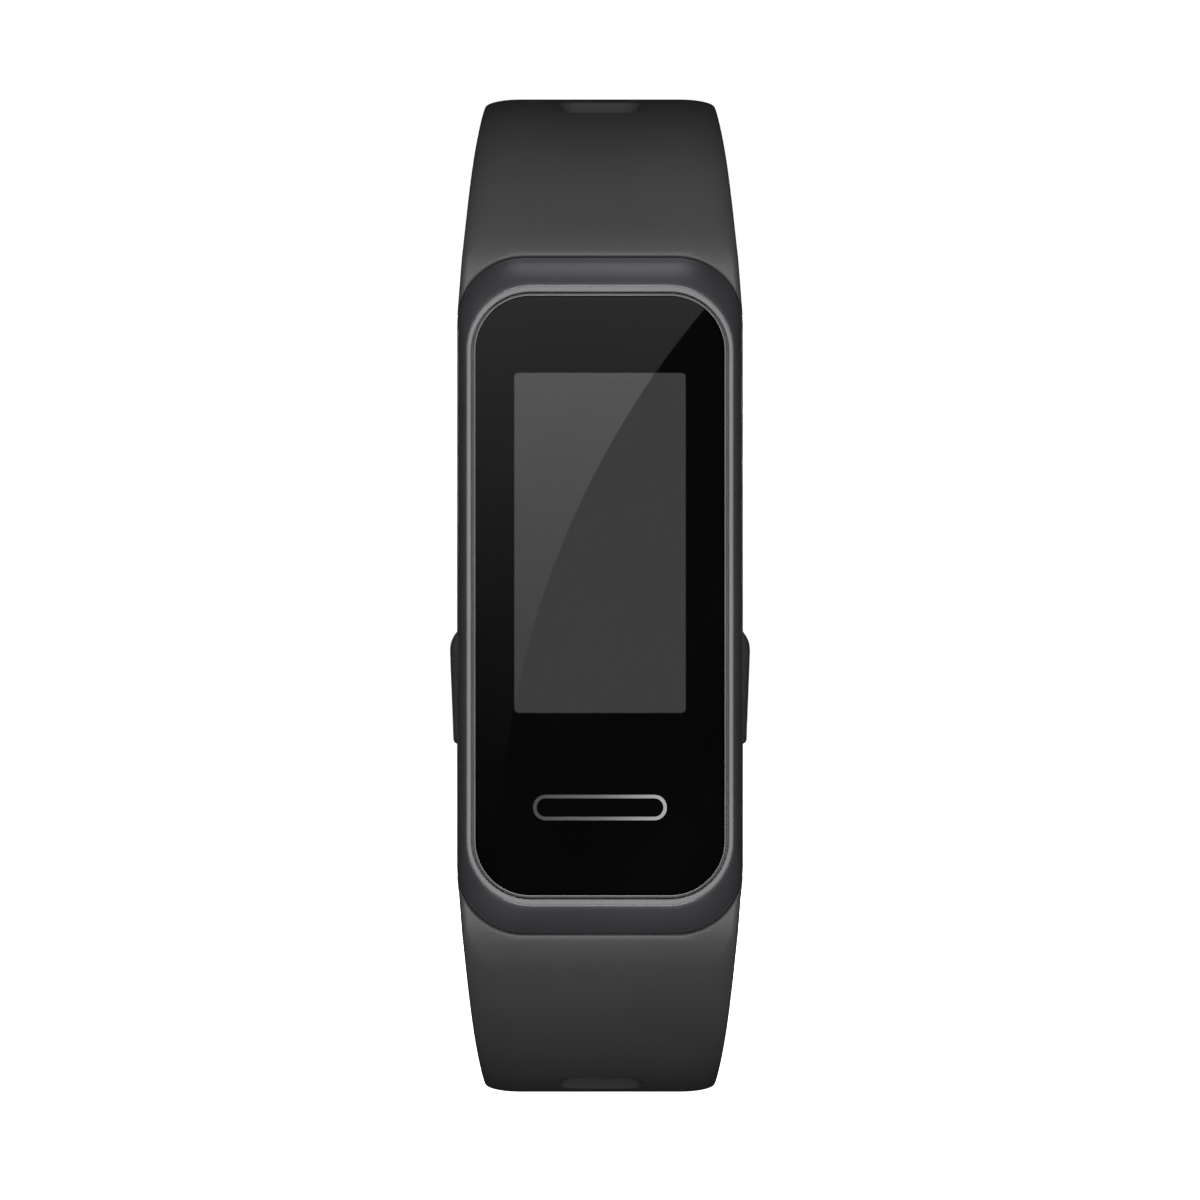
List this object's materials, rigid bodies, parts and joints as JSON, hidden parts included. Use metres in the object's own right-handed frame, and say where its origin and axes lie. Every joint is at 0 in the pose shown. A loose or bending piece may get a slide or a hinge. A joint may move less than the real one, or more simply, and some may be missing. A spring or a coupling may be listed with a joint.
{
  "type": "fitness tracker band",
  "caption": "Closed wristband activity tracker: slim oblong glass-faced housing with a pull-off USB plug, soft silicone straps, pin buckle and sliding keeper.",
  "frame": {"origin": "middle of the wrist opening", "axes": "+X across the strap, to the right of someone reading the display; -Y out of the display; +Z towards the display's top edge"},
  "size_m": [0.0212, 0.059, 0.066],
  "materials": {
    "housing": "fine satin moulding, bluish dark grey",
    "rear_shell": "satin black",
    "trim": "satin dark grey",
    "glass": "polished",
    "mask": "black print behind the glass",
    "key_mark": "grey print",
    "display": "unlit display, dark grey",
    "display_back": "white",
    "steel": "stamped",
    "tungsten": "sintered",
    "flex": "amber flex circuit",
    "board": "solder mask",
    "chip": "moulded epoxy",
    "led": "clear resin",
    "carrier": "moulded",
    "cell": "pouch foil",
    "wire": "insulated wire",
    "sensor_glass": "polished dark lens",
    "seal": "silicone",
    "contact": "gold plated",
    "strap": "soft-touch matte silicone",
    "button": "moulded",
    "buckle": "satin dark grey"
  },
  "bodies": {
    "tracker": {"housing_shell": "housing", "bezel_ring": "trim", "cover_glass": "glass", "glass_mask_print": "mask", "touch_key_outline": "key_mark", "glass_adhesive": "mask", "touch_sensor_film": "mask", "display_panel": "display", "display_backlight": "display_back", "display_frame": "steel", "display_flex_cable": "flex", "inner_frame": "carrier", "main_board": "board", "board_chips": "chip", "rf_shield_can": "steel", "board_screws": "steel", "antenna_flex": "flex", "battery_cell": "cell", "battery_protection_board": "board", "battery_leads": "wire", "vibration_motor_can": "steel", "sensor_board": "board", "sensor_light_baffle": "rear_shell", "sensor_leds": "led", "sensor_photodiode": "chip", "rear_cover": "rear_shell", "sensor_window": "sensor_glass", "usb_plug_tongue": "board", "usb_plug_seal": "seal", "usb_contacts": "contact", "upper_strap": "strap", "upper_strap_insert": "carrier", "upper_latch_spring": "steel"},
    "motor_rotor": {"motor_shaft": "steel", "motor_weight": "tungsten"},
    "upper_button": {"upper_release_button": "button"},
    "lower_band": {"lower_strap": "strap", "lower_strap_sleeve": "carrier", "lower_latch_spring": "steel", "buckle_pin": "steel"},
    "lower_button": {"lower_release_button": "button"},
    "buckle_frame": {"buckle_frame": "buckle"},
    "buckle_tongue": {"buckle_tongue": "buckle"},
    "keeper": {"strap_keeper": "strap"}
  },
  "joints": [
    {"name": "lower_strap_release", "type": "slide", "parent": "tracker", "child": "lower_band", "axis": [0, 0.5592, -0.829], "range_m": [0, 0.0095], "deforming": ["upper_strap"]},
    {"name": "buckle_frame_hinge", "type": "hinge", "parent": "lower_band", "child": "buckle_frame", "pos_m": [0, 0.02095, -0.009], "axis": [-1, 0, 0], "range_deg": [0, 15]},
    {"name": "buckle_tongue_hinge", "type": "hinge", "parent": "buckle_frame", "child": "buckle_tongue", "pos_m": [0, 0.02095, -0.009], "axis": [-1, 0, 0], "range_deg": [0, 20]},
    {"name": "keeper_travel", "type": "hinge", "parent": "lower_band", "child": "keeper", "pos_m": [0, 0.0019, -0.00992], "axis": [-1, 0, 0], "range_deg": [0, 12]},
    {"name": "lower_release_press", "type": "slide", "parent": "lower_band", "child": "lower_button", "axis": [0, -0.829, -0.5592], "range_m": [0, 0.0005], "stiffness_N_per_m": 600, "springref_m": -0.0005, "deforming": ["lower_latch_spring"]},
    {"name": "upper_release_press", "type": "slide", "parent": "tracker", "child": "upper_button", "axis": [0, -0.829, 0.5592], "range_m": [0, 0.0005], "stiffness_N_per_m": 600, "springref_m": -0.0005, "deforming": ["upper_latch_spring"]},
    {"name": "vibration_motor_spin", "type": "hinge", "parent": "tracker", "child": "motor_rotor", "pos_m": [0, -0.0242, 0.0142], "axis": [1, 0, 0], "continuous": true}
  ]
}
